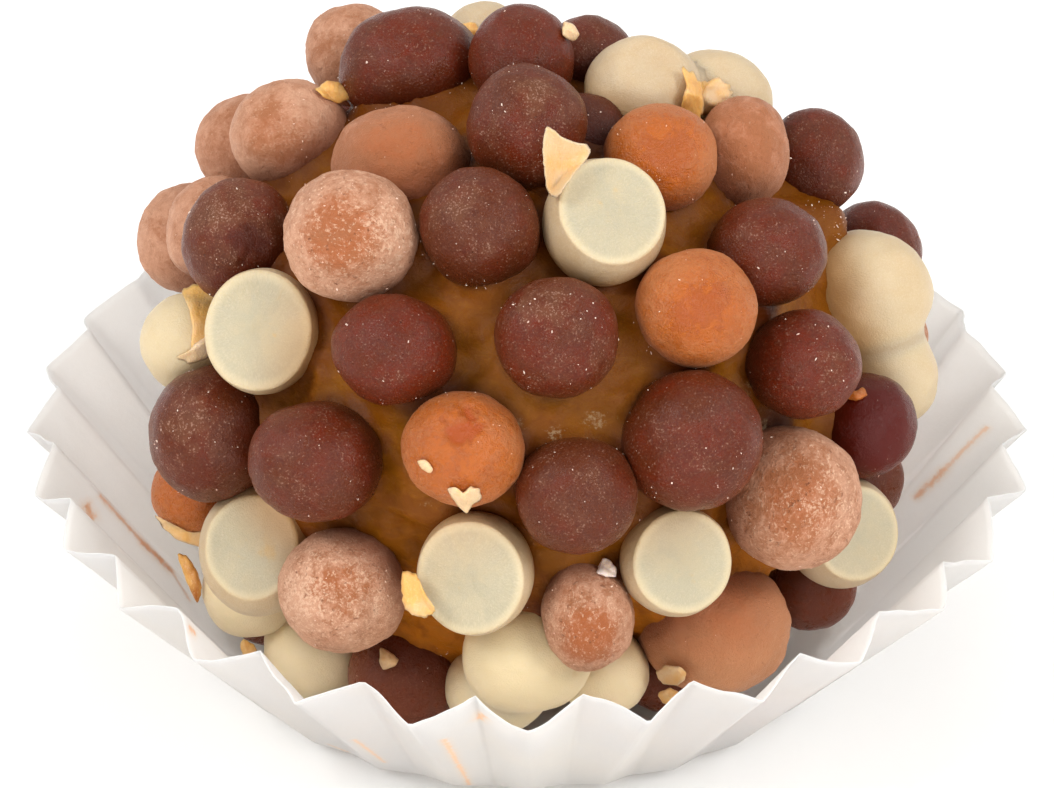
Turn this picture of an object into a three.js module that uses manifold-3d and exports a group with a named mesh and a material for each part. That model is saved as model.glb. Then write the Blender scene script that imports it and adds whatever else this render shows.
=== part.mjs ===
// A brigadeiro: a soft ball of chocolate fudge rolled in crisp chocolate pearls, sitting in its
// pleated paper case. Sizes are in millimetres with +Z up, and the origin is the centre of the
// case's base. A bearing runs round the ball from the front (-Y) towards the right (+X), and a
// height angle runs up from the ball's widest level.

import * as THREE from 'three';
import { mergeVertices } from 'three/addons/utils/BufferGeometryUtils.js';
import Module from 'manifold-3d';

// ---- Driving dimensions -------------------------------------------------------------------

const clearance = 0.3; // between a pearl and its pocket, and between the ball and its case
const pearlGap = 0.1; // between neighbouring pearls

// The ellipsoid on which the centres of the pearls lie.
const ball = {
  halfWidth: 15.5,
  halfHeight: 13.6,
  centreHeight: 13.0,
};

// The fudge stops short of the centres of the pearls, so each one is a third sunk.
const fudge = {
  belowPearlCentres: 1.2,
  aroundSegments: 20,
  upSegments: 12,
};

const pearlFacets = {
  aroundSegments: 8,
  upSegments: 5,
};

const paper = {
  thickness: 0.3,
  pleats: 28,
  baseRadius: 13.7,
  rimRadius: 21.7,
  rimHeight: 9.8,
  footRise: 0.5, // height of the rounded foot, where the wall turns up from the base
  footOut: 0.7,
  pleatDepthAtFoot: 0.3,
  pleatDepthAtRim: 1.2,
  outerFoldDrop: 0.8, // the outer folds of the rim lie this much lower than the inner ones
};

// The pearls that cover the front, the top and the sides, in rows from the crown down, each row
// from left to right. A pearl is [kind, bearing, height angle, diameter, how far it stands out].
const rows = {
  crown: [
    ['milk', -70, 65, 5.3, -1.0],
    ['dark', -134, 63, 5.9],
    ['dark', -14, 60, 5.0],
    ['dark', -176, 79, 4.7, 0.4],
    ['dark', 4, 80, 5.2, 0.3],
    ['white', 26, 60, 5.3],
    ['dark', 88, 79, 2.8, -1.6],
    ['caramel', 62, 65, 4.6],
    ['white', 116, 70, 4.4],
  ],
  farCrown: [
    ['milk', -140, 45, 4.6, 1.1],
    ['white', -168, 54, 3.8],
    ['dark', 153, 66, 4.0, -0.4],
    ['white', 119, 53, 4.4],
    ['milk', 90, 53, 4.4],
  ],
  shoulder: [
    ['milk', -119, 29, 4.7, 0.7],
    ['milk', -108, 45, 5.0],
    ['dark', -80, 35, 5.2],
    ['milk', -48, 50, 5.6, 0.9],
    ['white', -56, 29, 5.0],
    ['dark', -26, 36, 5.0],
    ['dark', 6, 41, 5.0],
    ['caramel', 37, 41, 5.1],
    ['dark', 62, 42, 4.9],
    ['dark', 112, 31, 4.6, 0.4],
  ],
  belly: [
    ['milk', -109, 13, 4.8, 0.9],
    ['milk', -99, 24, 4.8, -0.5],
    ['white', -76, 14, 4.2],
    ['dark', -62, 5, 5.7],
    ['dark', -36, 13, 5.4],
    ['caramel', -11, 22, 5.0],
    ['dark', 9, 14, 5.0],
    ['dark', 27, 19, 5.7],
    ['dark', 55, 23, 4.9],
    ['white', 95, 12, 4.8, 0.4],
    ['dark', 111, 7, 4.6, 0.8],
    ['milk', 100, -4, 3.5, 1.0],
  ],
  waist: [
    ['caramel', -73, -17, 3.9, 0.4],
    ['white', -51, -16, 5.1],
    ['milk', -32, -13, 5.5],
    ['white', -8, -2, 4.9],
    ['milk', 9, -14, 4.2],
    ['white', 24, -3, 4.7],
    ['milk', 47, 0, 5.9],
    ['dark', 72, -1, 4.6],
    ['white', 88, -4, 4.3, 0.4],
    ['dark', 81, -18, 4.0, 0.3],
  ],
  skirt: [
    ['dark', -68, -42, 3.6, 1.4],
    ['white', -59, -33, 4.3, 0.7],
    ['white', -44, -41, 4.3, 0.9],
    ['dark', -31, -43, 5.3, 0.3],
    ['white', -10, -40, 4.0, 0.9],
    ['white', 1, -25, 5.1],
    ['white', 16, -37, 3.9],
    ['dark', 35, -50, 3.8, 0.3],
    ['milk', 37, -31, 6.1],
    ['white', 62, -16, 4.7, 0.7],
    ['dark', 65, -33, 4.0, 1.0],
  ],
};

// The pearls of the far side lie on a spiral from the foot of the ball to its crown, wherever
// there is room beside the others. Their diameters repeat in this order.
const farSide = {
  diameters: [5.0, 5.5, 4.6, 5.2, 4.8],
  steps: 4000,
  turn: THREE.MathUtils.degToRad(137.5),
  lowest: -46,
  highest: 80,
  unevenness: 0.3, // how much further in or out some of them stand
  behind: 0.25, // how far past the crown they keep, so that none shows over it from the front
};

const finishes = {
  fudge: { color: '#9a5f2e', roughness: 0.4 },
  dark: { color: '#5d342e', roughness: 0.6 },
  milk: { color: '#b06a48', roughness: 0.6 },
  caramel: { color: '#c66f35', roughness: 0.45 },
  white: { color: '#ded3a6', roughness: 0.5 },
  paper: { color: '#efece6', roughness: 0.8 },
};

// ---- Solids -------------------------------------------------------------------------------

const wasm = await Module();
wasm.setup();

const mergeDistance = 1e-4;

function toSolid(geometry) {
  const bare = geometry.clone();
  bare.deleteAttribute('normal');
  bare.deleteAttribute('uv');
  const merged = mergeVertices(bare, mergeDistance);
  return new wasm.Manifold(new wasm.Mesh({
    numProp: 3,
    vertProperties: merged.attributes.position.array,
    triVerts: new Uint32Array(merged.index.array),
  }));
}

function toGeometry(solid) {
  const mesh = solid.getMesh();
  const geometry = new THREE.BufferGeometry();
  geometry.setAttribute('position', new THREE.BufferAttribute(mesh.vertProperties, 3));
  geometry.setIndex(new THREE.BufferAttribute(mesh.triVerts, 1));
  geometry.computeVertexNormals();
  return geometry;
}

function makeMesh(name, geometry, finish) {
  const material = new THREE.MeshStandardMaterial({ ...finish, metalness: 0 });
  const mesh = new THREE.Mesh(geometry, material);
  mesh.name = name;
  return mesh;
}

// ---- Where the pearls sit -----------------------------------------------------------------

function directionOf(bearingDegrees, heightDegrees) {
  const bearing = THREE.MathUtils.degToRad(bearingDegrees);
  const height = THREE.MathUtils.degToRad(heightDegrees);
  return new THREE.Vector3(
    Math.cos(height) * Math.sin(bearing),
    -Math.cos(height) * Math.cos(bearing),
    Math.sin(height),
  );
}

// The ball is flattened where it rests, so no pearl reaches below the inside of the case.
function placeOnBall(pearl) {
  const halfWidth = ball.halfWidth + pearl.lift;
  const halfHeight = ball.halfHeight + pearl.lift;
  const lowest = paper.thickness + clearance + pearl.radius;
  pearl.centre = new THREE.Vector3(
    pearl.direction.x * halfWidth,
    pearl.direction.y * halfWidth,
    Math.max(lowest, ball.centreHeight + pearl.direction.z * halfHeight),
  );
}

// A pearl that has been pushed goes back to its own height above the fudge.
function pushPearl(pearl, step) {
  const moved = pearl.centre.clone().add(step);
  const halfWidth = ball.halfWidth + pearl.lift;
  const halfHeight = ball.halfHeight + pearl.lift;
  pearl.direction.set(
    moved.x / halfWidth,
    moved.y / halfWidth,
    (moved.z - ball.centreHeight) / halfHeight,
  );
  pearl.direction.normalize();
  placeOnBall(pearl);
}

// Neighbours that lie too close share the push between them, until every pair has its gap.
function easeApart(pearls) {
  const rounds = 80;
  for (let round = 0; round < rounds; round += 1) {
    for (const [index, first] of pearls.entries()) {
      for (const second of pearls.slice(index + 1)) {
        const apart = second.centre.clone().sub(first.centre);
        const needed = first.radius + second.radius + pearlGap;
        const missing = needed - apart.length();
        if (missing > 0) {
          apart.setLength(missing / 2);
          pushPearl(second, apart);
          pushPearl(first, apart.negate());
        }
      }
    }
  }
}

function layFrontPearls() {
  const pearls = [];
  const counts = {};
  for (const row of Object.values(rows)) {
    for (const [kind, bearing, height, diameter, lift = 0] of row) {
      counts[kind] = (counts[kind] ?? 0) + 1;
      const number = String(counts[kind]).padStart(2, '0');
      const pearl = {
        name: `pearl_${kind}_${number}`,
        kind,
        direction: directionOf(bearing, height),
        radius: diameter / 2,
        lift,
      };
      placeOnBall(pearl);
      pearls.push(pearl);
    }
  }
  easeApart(pearls);
  return pearls;
}

function isClear(pearl, others, gap) {
  return others.every(
    (other) => other.centre.distanceTo(pearl.centre) > other.radius + pearl.radius + gap,
  );
}

function layFarPearls(frontPearls) {
  const pearls = [];
  const frontAndUp = directionOf(0, 36);
  const lowest = Math.sin(THREE.MathUtils.degToRad(farSide.lowest));
  const highest = Math.sin(THREE.MathUtils.degToRad(farSide.highest));
  for (let step = 0; step < farSide.steps; step += 1) {
    const rise = lowest + (highest - lowest) * step / farSide.steps;
    const around = step * farSide.turn;
    const level = Math.sqrt(1 - rise * rise);
    const pearl = {
      direction: new THREE.Vector3(level * Math.sin(around), level * Math.cos(around), rise),
      radius: farSide.diameters[pearls.length % farSide.diameters.length] / 2,
      lift: farSide.unevenness * Math.sin(farSide.turn * pearls.length),
    };
    placeOnBall(pearl);
    if (pearl.direction.dot(frontAndUp) > -farSide.behind) {
      continue;
    }
    if (isClear(pearl, frontPearls, clearance) && isClear(pearl, pearls, pearlGap)) {
      pearls.push(pearl);
    }
  }
  return pearls;
}

function pearlGeometry(pearl, grownBy = 0) {
  const { aroundSegments, upSegments } = pearlFacets;
  const geometry = new THREE.SphereGeometry(pearl.radius + grownBy, aroundSegments, upSegments);
  geometry.rotateX(Math.PI / 2);
  geometry.translate(pearl.centre.x, pearl.centre.y, pearl.centre.z);
  return geometry;
}

function makePearl(pearl) {
  const geometry = toGeometry(toSolid(pearlGeometry(pearl)));
  return makeMesh(pearl.name, geometry, finishes[pearl.kind]);
}

// ---- Fudge --------------------------------------------------------------------------------

function fudgeBall() {
  const geometry = new THREE.SphereGeometry(1, fudge.aroundSegments, fudge.upSegments);
  geometry.rotateX(Math.PI / 2);
  const halfWidth = ball.halfWidth - fudge.belowPearlCentres;
  const halfHeight = ball.halfHeight - fudge.belowPearlCentres;
  geometry.scale(halfWidth, halfWidth, halfHeight);
  geometry.translate(0, 0, ball.centreHeight);

  const restHeight = paper.thickness + clearance;
  const belowRest = new THREE.BoxGeometry(3 * halfWidth, 3 * halfWidth, halfHeight);
  belowRest.translate(0, 0, restHeight - halfHeight / 2);
  return toSolid(geometry).subtract(toSolid(belowRest));
}

function makeFudge(frontPearls, farPearls) {
  let solid = fudgeBall();
  for (const pearl of farPearls) {
    solid = solid.add(toSolid(pearlGeometry(pearl)));
  }
  for (const pearl of frontPearls) {
    solid = solid.subtract(toSolid(pearlGeometry(pearl, clearance)));
  }
  return makeMesh('fudge_core', toGeometry(solid), finishes.fudge);
}

// ---- Paper case ---------------------------------------------------------------------------

// How far out the wall stands at each stage of a pleat: a broad outer fold and a sharp inner one.
const pleatStages = [
  { turn: -0.16, out: 1 },
  { turn: 0.16, out: 1 },
  { turn: 0.5, out: -1 },
];

// One ring of the wall, at a fraction of its height, on its outside or its inside.
function wallRing(fraction, inside) {
  const points = [];
  const { footRise, footOut, thickness } = paper;
  const radius = THREE.MathUtils.lerp(paper.baseRadius + footOut, paper.rimRadius, fraction);
  const height = THREE.MathUtils.lerp(footRise, paper.rimHeight, fraction);
  const depth = THREE.MathUtils.lerp(paper.pleatDepthAtFoot, paper.pleatDepthAtRim, fraction);
  for (let pleat = 0; pleat < paper.pleats; pleat += 1) {
    for (const { turn, out } of pleatStages) {
      const angle = 2 * Math.PI * (pleat + turn) / paper.pleats;
      const reach = radius + out * depth / 2 - (inside ? thickness : 0);
      const drop = fraction * out * paper.outerFoldDrop / 2;
      points.push([
        reach * Math.cos(angle),
        reach * Math.sin(angle),
        height - drop + (inside && fraction === 0 ? thickness : 0),
      ]);
    }
  }
  return points;
}

function baseRing(radius, height) {
  const points = [];
  for (let pleat = 0; pleat < paper.pleats; pleat += 1) {
    for (const { turn } of pleatStages) {
      const angle = 2 * Math.PI * (pleat + turn) / paper.pleats;
      points.push([radius * Math.cos(angle), radius * Math.sin(angle), height]);
    }
  }
  return points;
}

// The rings run from the middle of the underside, up the outside and down the inside.
function makePaperCase() {
  const rings = [
    baseRing(paper.baseRadius, 0),
    wallRing(0, false),
    wallRing(1, false),
    wallRing(1, true),
    wallRing(0, true),
    baseRing(paper.baseRadius - paper.thickness, paper.thickness),
  ];

  const around = paper.pleats * pleatStages.length;
  const positions = rings.flat(2);
  const triangles = [];
  for (let ring = 0; ring < rings.length - 1; ring += 1) {
    for (let place = 0; place < around; place += 1) {
      const here = ring * around + place;
      const beside = ring * around + (place + 1) % around;
      triangles.push(here, beside, beside + around);
      triangles.push(here, beside + around, here + around);
    }
  }

  const underside = positions.length / 3;
  positions.push(0, 0, 0);
  const upperSide = underside + 1;
  positions.push(0, 0, paper.thickness);
  const lastRing = (rings.length - 1) * around;
  for (let place = 0; place < around; place += 1) {
    const next = (place + 1) % around;
    triangles.push(underside, next, place);
    triangles.push(upperSide, lastRing + place, lastRing + next);
  }

  const geometry = new THREE.BufferGeometry();
  geometry.setAttribute('position', new THREE.Float32BufferAttribute(positions, 3));
  geometry.setIndex(triangles);
  geometry.computeVertexNormals();
  return makeMesh('paper_case', geometry, finishes.paper);
}

// ---- The whole ----------------------------------------------------------------------------

const frontPearls = layFrontPearls();
const farPearls = layFarPearls(frontPearls);

const group = new THREE.Group();
group.add(makePaperCase());
group.add(makeFudge(frontPearls, farPearls));
for (const pearl of frontPearls) {
  group.add(makePearl(pearl));
}

export default group;
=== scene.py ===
"""A brigadeiro: a ball of chocolate fudge rolled in chocolate pearls, in its pleated paper case.

Everything is in metres with +Z up. A bearing runs round from the front (-Y) towards the right
(+X), and a height angle runs up from the level.
"""

import math

import bmesh
import bpy
import numpy as np
from mathutils import Matrix, Vector, noise


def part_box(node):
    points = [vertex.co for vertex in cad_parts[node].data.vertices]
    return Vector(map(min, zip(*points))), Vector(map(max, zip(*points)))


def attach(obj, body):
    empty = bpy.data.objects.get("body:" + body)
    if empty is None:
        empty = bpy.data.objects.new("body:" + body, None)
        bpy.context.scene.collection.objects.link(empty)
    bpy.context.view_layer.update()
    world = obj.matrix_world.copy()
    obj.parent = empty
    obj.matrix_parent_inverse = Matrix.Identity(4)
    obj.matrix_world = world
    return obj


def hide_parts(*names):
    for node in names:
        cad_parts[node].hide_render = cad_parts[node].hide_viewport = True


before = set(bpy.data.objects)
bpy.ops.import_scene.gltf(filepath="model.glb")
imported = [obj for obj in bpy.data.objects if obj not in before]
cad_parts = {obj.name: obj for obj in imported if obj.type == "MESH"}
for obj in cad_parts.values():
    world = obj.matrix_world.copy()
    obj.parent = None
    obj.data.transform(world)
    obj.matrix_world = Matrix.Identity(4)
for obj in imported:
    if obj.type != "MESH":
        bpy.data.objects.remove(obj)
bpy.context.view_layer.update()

MM = 0.001
BODY = "root"
UP = Vector((0, 0, 1))


# ---- Node trees ---------------------------------------------------------------------------

def both_ways(operation):
    """An operator of Value and its reflected form."""
    def forward(value, other):
        return value.nodes.math(operation, value, other)

    def reflected(value, other):
        return value.nodes.math(operation, other, value)
    return forward, reflected


class Value:
    """A socket that takes part in Python sums. Each sum adds the Math node that it needs."""

    def __init__(self, nodes, socket):
        self.nodes = nodes
        self.socket = socket

    __add__, __radd__ = both_ways("ADD")
    __sub__, __rsub__ = both_ways("SUBTRACT")
    __mul__, __rmul__ = both_ways("MULTIPLY")
    __truediv__, __rtruediv__ = both_ways("DIVIDE")
    __pow__, __rpow__ = both_ways("POWER")


class Nodes:
    """Adds nodes to one tree, for a material or for Geometry Nodes."""

    def __init__(self, tree):
        self.tree = tree

    def add(self, kind, settings=None, sockets=None, output=0):
        """A node of that kind: its settings first, then the values or links of its sockets."""
        node = self.tree.nodes.new(kind)
        for name, setting in (settings or {}).items():
            setattr(node, name, setting)
        for key, value in (sockets or {}).items():
            if isinstance(value, Value):
                self.tree.links.new(value.socket, node.inputs[key])
            else:
                node.inputs[key].default_value = value
        return Value(self, node.outputs[output]) if node.outputs else node

    def math(self, operation, *inputs):
        return self.add("ShaderNodeMath", {"operation": operation}, dict(enumerate(inputs)))

    def vector(self, operation, *inputs, output="Vector"):
        settings = {"operation": operation}
        return self.add("ShaderNodeVectorMath", settings, dict(enumerate(inputs)), output)

    def scaled(self, vector, by):
        return self.add("ShaderNodeVectorMath", {"operation": "SCALE"}, {0: vector, "Scale": by})

    def dot(self, first, second):
        return self.vector("DOT_PRODUCT", first, second, output="Value")

    def length(self, vector):
        return self.vector("LENGTH", vector, output="Value")

    def axes(self, vector):
        """The x, y and z of a vector."""
        parts = self.add("ShaderNodeSeparateXYZ", {}, {"Vector": vector})
        outputs = parts.socket.node.outputs
        return [Value(self, outputs[axis]) for axis in "XYZ"]

    def joined(self, x, y, z):
        return self.add("ShaderNodeCombineXYZ", {}, {"X": x, "Y": y, "Z": z})

    def step(self, value, start, end):
        """Rises smoothly from 0 at start to 1 at end, or falls where start is the larger."""
        if start > end:
            return 1 - self.step(value, end, start)
        settings = {"interpolation_type": "SMOOTHSTEP"}
        sockets = {"Value": value, "From Min": start, "From Max": end}
        return self.add("ShaderNodeMapRange", settings, sockets)

    def cloud(self, place, scale, detail=2.0, roughness=0.5, seed=None, warp=0.0):
        """Soft noise about 0.5."""
        sockets = {"Vector": place, "Scale": scale, "Detail": detail, "Roughness": roughness,
                   "Distortion": warp}
        if seed is None:
            return self.add("ShaderNodeTexNoise", {"noise_dimensions": "3D"}, sockets)
        sockets["W"] = seed
        return self.add("ShaderNodeTexNoise", {"noise_dimensions": "4D"}, sockets)


def paint(code):
    """The linear colour of a #rrggbb code."""
    def linear(part):
        return part / 12.92 if part <= 0.04045 else ((part + 0.055) / 1.055) ** 2.4
    parts = [int(code[start:start + 2], 16) / 255 for start in (1, 3, 5)]
    return (*[linear(part) for part in parts], 1.0)


class Finish(Nodes):
    """A material in the making."""

    def __init__(self, name):
        self.material = bpy.data.materials.new(name)
        self.material.use_nodes = True
        super().__init__(self.material.node_tree)
        self.tree.nodes.clear()

    def place(self):
        """The point on the object, in millimetres."""
        point = self.add("ShaderNodeTexCoord", {}, {}, "Object")
        return self.scaled(point, 1 / MM)

    def numbers(self, *attributes):
        """What the mesh stores under those names, one number for each."""
        return [self.add("ShaderNodeAttribute", {"attribute_name": attribute}, {}, "Fac")
                for attribute in attributes]

    def direction(self, attribute):
        return self.add("ShaderNodeAttribute", {"attribute_name": attribute}, {}, "Vector")

    def blend(self, amount, first, second):
        """A colour that goes from first to second as amount goes from 0 to 1."""
        colours = [paint(each) if isinstance(each, str) else each for each in (first, second)]
        sockets = {0: amount, 6: colours[0], 7: colours[1]}
        return self.add("ShaderNodeMix", {"data_type": "RGBA"}, sockets, 2)

    def layered(self, colour, *layers):
        """The colour with thin layers over it, each an amount and the colour that it adds."""
        for amount, added in layers:
            colour = self.blend(amount, colour, added)
        return colour

    def bump(self, height, depth):
        """A relief of that depth in millimetres."""
        sockets = {"Height": height, "Distance": depth * MM, "Strength": 1.0}
        return self.add("ShaderNodeBump", {}, sockets)

    def surface(self, **sockets):
        """Finishes the material. Keys are Principled sockets with _ for a space."""
        named = {key.replace("_", " ").title().replace("Ior", "IOR"): value
                 for key, value in sockets.items()}
        shader = self.add("ShaderNodeBsdfPrincipled", {}, named)
        self.add("ShaderNodeOutputMaterial", {}, {"Surface": shader})
        return self.material


class Maker(Nodes):
    """A Geometry Nodes tree in the making, with named inputs."""

    def __init__(self, name, inputs):
        tree = bpy.data.node_groups.new(name, "GeometryNodeTree")
        super().__init__(tree)
        kinds = {"Geometry": "NodeSocketGeometry", "Material": "NodeSocketMaterial"}
        for label, kind in inputs.items():
            socket_type = kinds.get(kind, "NodeSocket" + kind)
            tree.interface.new_socket(label, in_out="INPUT", socket_type=socket_type)
        tree.interface.new_socket("Geometry", in_out="OUTPUT", socket_type="NodeSocketGeometry")
        self.group = tree.nodes.new("NodeGroupInput")

    def input(self, label):
        return Value(self, self.group.outputs[label])

    def number(self, attribute):
        settings = {"data_type": "FLOAT"}
        return self.add("GeometryNodeInputNamedAttribute", settings, {"Name": attribute})

    def direction(self, attribute):
        settings = {"data_type": "FLOAT_VECTOR"}
        return self.add("GeometryNodeInputNamedAttribute", settings, {"Name": attribute})

    def position(self):
        return self.add("GeometryNodeInputPosition")

    def kept(self, geometry, attribute, value, data_type="FLOAT_VECTOR"):
        """The geometry with a vector or a number stored on its points."""
        settings = {"data_type": data_type, "domain": "POINT"}
        sockets = {"Geometry": geometry, "Name": attribute, "Value": value}
        return self.add("GeometryNodeStoreNamedAttribute", settings, sockets)

    def random(self, lowest, highest, seed):
        """A random number, or a random vector where the limits are vectors."""
        if isinstance(lowest, tuple):
            settings, first, output = {"data_type": "FLOAT_VECTOR"}, 0, 0
        else:
            settings, first, output = {"data_type": "FLOAT"}, 2, 1
        sockets = {first: lowest, first + 1: highest, "Seed": seed}
        return self.add("FunctionNodeRandomValue", settings, sockets, output)

    def finish(self, geometry):
        """Ends the tree: everything real, smooth and with its material."""
        real = self.add("GeometryNodeRealizeInstances", {}, {"Geometry": geometry})
        smooth = self.add("GeometryNodeSetShadeSmooth", {}, {"Geometry": real})
        sockets = {"Geometry": smooth, "Material": self.input("Material")}
        done = self.add("GeometryNodeSetMaterial", {}, sockets)
        output = self.tree.nodes.new("NodeGroupOutput")
        self.tree.links.new(done.socket, output.inputs["Geometry"])
        return self.tree


# ---- Pieces -------------------------------------------------------------------------------

def new_object(name, mesh):
    piece = bpy.data.objects.new(name, mesh)
    bpy.context.scene.collection.objects.link(piece)
    return piece


def settled(piece):
    """The piece as a plain mesh with its modifiers worked in."""
    bpy.context.view_layer.update()
    shape = piece.evaluated_get(bpy.context.evaluated_depsgraph_get())
    mesh = bpy.data.meshes.new_from_object(shape)
    piece.modifiers.clear()
    old = piece.data
    piece.data = mesh
    mesh.name = piece.name
    bpy.data.meshes.remove(old)
    return piece


def grown(name, mesh, tree, values, thickness=None):
    """The piece that a Geometry Nodes tree makes of a mesh."""
    piece = new_object(name, mesh)
    modifier = piece.modifiers.new("made", "NODES")
    modifier.node_group = tree
    for item in tree.interface.items_tree:
        if item.in_out == "INPUT" and item.name in values:
            modifier[item.identifier] = values[item.name]
    if thickness:
        wall = piece.modifiers.new("wall", "SOLIDIFY")
        wall.thickness = thickness
        wall.offset = -1
    return settled(piece)


def store(mesh, attribute, values):
    """Stores a number or a vector on each point of a mesh."""
    values = np.array(values)
    kind, field = ("FLOAT", "value") if values.ndim == 1 else ("FLOAT_VECTOR", "vector")
    mesh.attributes.new(attribute, kind, "POINT").data.foreach_set(field, values.ravel())


def keep(piece, slot, *nodes):
    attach(piece, BODY)
    if nodes:
        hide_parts(*nodes)


def direction_of(bearing, height):
    bearing, height = math.radians(bearing), math.radians(height)
    level = math.cos(height)
    return Vector((level * math.sin(bearing), -level * math.cos(bearing), math.sin(height)))


# ---- The camera, the lights and the floor --------------------------------------------------

def make_studio():
    scene = bpy.context.scene
    scene.view_settings.view_transform = "Standard"

    # The camera looks over the origin, at about the middle of the ball.
    view_height, view_distance = 36.0, 260 * MM
    angle_over_origin = 2.06
    focal_length = 195.4
    lens = bpy.data.cameras.new("camera")
    lens.sensor_width = 36.0
    lens.lens = focal_length
    lens.clip_start = 0.01
    camera = bpy.data.objects.new("camera", lens)
    camera.location = direction_of(0, view_height) * view_distance
    tilt = 90 - view_height + angle_over_origin
    camera.rotation_euler = (math.radians(tilt), 0, 0)
    scene.collection.objects.link(camera)
    scene.camera = camera

    world = bpy.data.worlds.new("soft_white_room")
    world.use_nodes = True
    world.node_tree.nodes["Background"].inputs["Color"].default_value = (1, 1, 1, 1)
    world.node_tree.nodes["Background"].inputs["Strength"].default_value = 0.6
    scene.world = world

    # Each has its bearing and height angle, its distance and size in metres, and its watts.
    lamps = {
        "left": (-60, 46, 0.55, 0.20, 1.40),
        "right": (56, 42, 0.55, 0.20, 1.28),
        "front": (4, 16, 0.60, 0.34, 1.40),
        "left_rim": (-114, 32, 0.55, 0.25, 0.45),
        "right_rim": (112, 32, 0.55, 0.25, 0.42),
        "back": (175, 55, 0.60, 0.40, 0.45),
    }
    for name, (bearing, height, distance, size, power) in lamps.items():
        lamp = bpy.data.lights.new(name, "AREA")
        lamp.shape = "DISK"
        lamp.size = size
        lamp.energy = power
        holder = bpy.data.objects.new(name, lamp)
        holder.location = direction_of(bearing, height) * distance
        holder.rotation_euler = holder.location.to_track_quat("Z", "Y").to_euler()
        scene.collection.objects.link(holder)

    floor_size = 4.0
    floor_mesh = bpy.data.meshes.new("floor")
    corners = [(-1, -1), (1, -1), (1, 1), (-1, 1)]
    half = floor_size / 2
    points = [(x * half, y * half, -0.1 * MM) for x, y in corners]
    floor_mesh.from_pydata(points, [], [(0, 1, 2, 3)])
    floor = new_object("floor", floor_mesh)
    finish = Finish("pale_floor")
    floor_mesh.materials.append(finish.surface(base_color=paint("#f6f5f3"), roughness=0.7))


# ---- Where the pearls sit -----------------------------------------------------------------

KINDS = ("dark", "milk", "caramel", "white", "button")

# The ellipsoid on which the centres of the pearls lie, and the fudge inside it.
BALL_CENTRE = Vector((0, 0, 13.0)) * MM
BALL_HALF = Vector((15.5, 15.5, 13.6)) * MM
FUDGE_HALF = Vector((14.3, 14.3, 12.4)) * MM
REST_HEIGHT = 0.6 * MM
# The direction from which the finished sweet is mostly seen, and what is right and up from there.
FRONT_AND_UP = direction_of(0, 36)
SEEN_RIGHT = Vector((1, 0, 0))
SEEN_UP = FRONT_AND_UP.cross(SEEN_RIGHT)

# The far side's pearls lie on a spiral, wherever there is room past the crown. Diameters,
# unevenness and gaps are in millimetres and heights in degrees; FAR_BEHIND is how far past the
# crown they begin, as a share of the ball.
FAR_DIAMETERS = (5.0, 5.5, 4.6, 5.2, 4.8)
FAR_KINDS = ("dark", "white", "milk", "dark", "milk", "white", "dark", "caramel")
FAR_STEPS = 4000
FAR_TURN = math.radians(137.5)
FAR_LOWEST, FAR_HIGHEST = -46, 80
FAR_UNEVENNESS = 0.3
FAR_BEHIND = 0.25
GAP_TO_FRONT = 0.3
GAP_BETWEEN = 0.1

# Where single pearls have a deeper coloured hollow and where a pale, grainy patch: bearing,
# height angle, half angle and strength. Most deep patches face the front; they are partly the
# pearl's own colour and partly painted sheen, leaving the middle deeper in colour than the rim.
DEEP_MARKS = {
    "dark_07": (13, 29, 20, 1.0),
    "dark_08": (-10, 40, 30, 0.4),
    # caramel_01's broad deep patch is partly painted shade, which darkens its front.
    "caramel_01": (14, 40, 46, 0.55),
    "caramel_02": (3, 35, 40, 0.8),
    "caramel_03": (2, 60, 22, 1.5),
    "milk_01": (0, 45, 45, 0.5),
    "milk_05": (-7, 40, 50, 0.6),
    "milk_06": (-6, 33, 46, 0.9),
    "milk_10": (-3, 39, 30, 1.0),
    "milk_11": (4, 11, 45, 1.0),
    "milk_12": (7, 36, 48, 0.8),
    "milk_13": (0, 36, 50, 0.4),
    "white_05": (33, 38, 14, 0.6),
    "white_08": (0, 36, 34, 0.7),
    "white_10": (-3, 52, 14, 0.5),
    "white_17": (9, 32, 26, 0.6),
}
PALE_MARKS = {
    "dark_02": (-53, 51, 40, 0.8),
    "dark_04": (32, 68, 32, 1.0),
    # dark_07's pale patch is partly a painted sheen on its upper left rim, as well as bloom.
    "dark_07": (-65, 65, 46, 0.9),
    "dark_09": (-34, 62, 28, 1.0),
    "dark_10": (-30, 60, 30, 0.6),
    "dark_12": (-25, 42, 34, 1.0),
    "dark_13": (-38, 26, 22, 0.6),
    "dark_14": (-20, 20, 26, 0.5),
    "dark_16": (40, 30, 30, 0.5),
    "milk_05": (30, 55, 40, 0.8),
    "milk_06": (40, 20, 40, 0.8),
    "milk_10": (-40, 20, 34, 1.0),
    "milk_12": (40, 25, 40, 0.8),
    "caramel_01": (60, 10, 40, 1.0),
    "caramel_02": (-60, 55, 40, 0.9),
    "caramel_03": (50, 36, 40, 0.9),
}
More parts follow.
